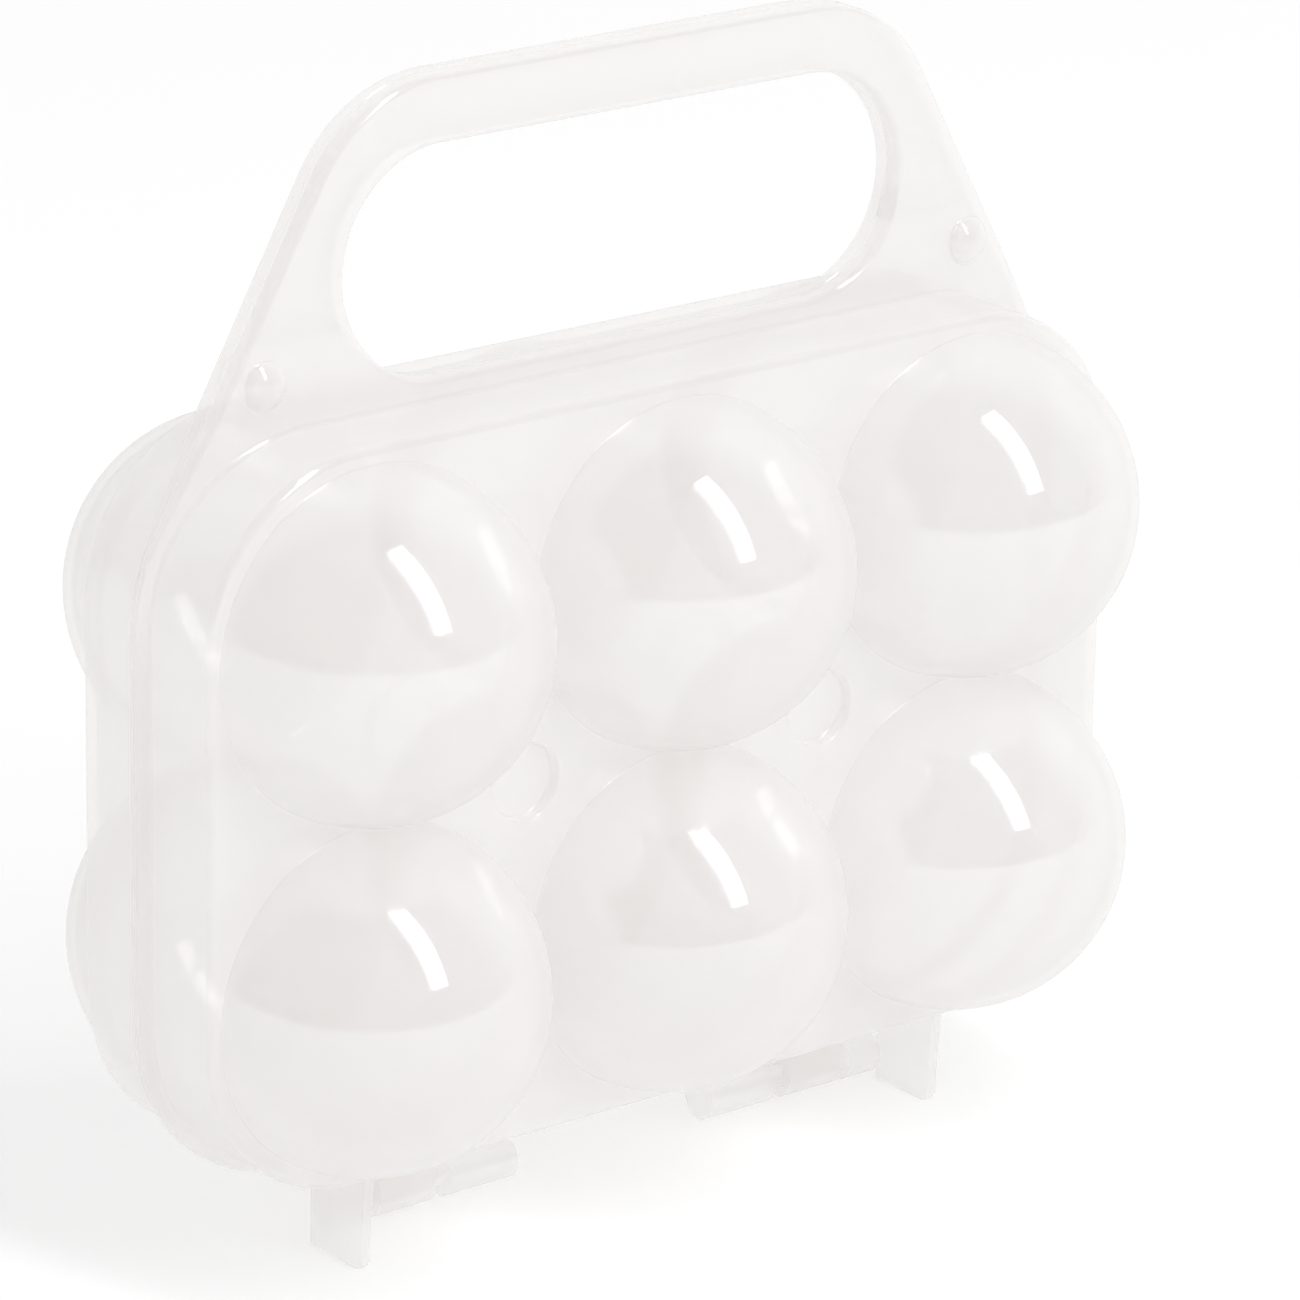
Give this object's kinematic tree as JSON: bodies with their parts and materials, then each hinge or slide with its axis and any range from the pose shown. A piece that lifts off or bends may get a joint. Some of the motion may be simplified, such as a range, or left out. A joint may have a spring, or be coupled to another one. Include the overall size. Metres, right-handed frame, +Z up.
{
  "type": "egg carrier",
  "caption": "Clear plastic egg carrier with a carrying handle: two domed half shells that hinge along the bottom edge and snap shut beside the handle slot.",
  "frame": {"origin": "on the ground under the middle of the closed carrier, where the two halves meet", "axes": "+X along the carrier to the viewer's right when its front half is faced, +Y from the front half to the back half, +Z up towards the handle"},
  "size_m": [0.1566, 0.0762, 0.1596],
  "materials": {
    "clear_polypropylene": "milky translucent, glossy domes, satin handle"
  },
  "bodies": {
    "back": {"back_shell": "clear_polypropylene"},
    "front": {"front_shell": "clear_polypropylene"}
  },
  "joints": [
    {"name": "bottom_hinge", "type": "hinge", "parent": "back", "child": "front", "pos_m": [0, 0, 0.0043], "axis": [1, 0, 0], "range_deg": [0, 180]}
  ]
}
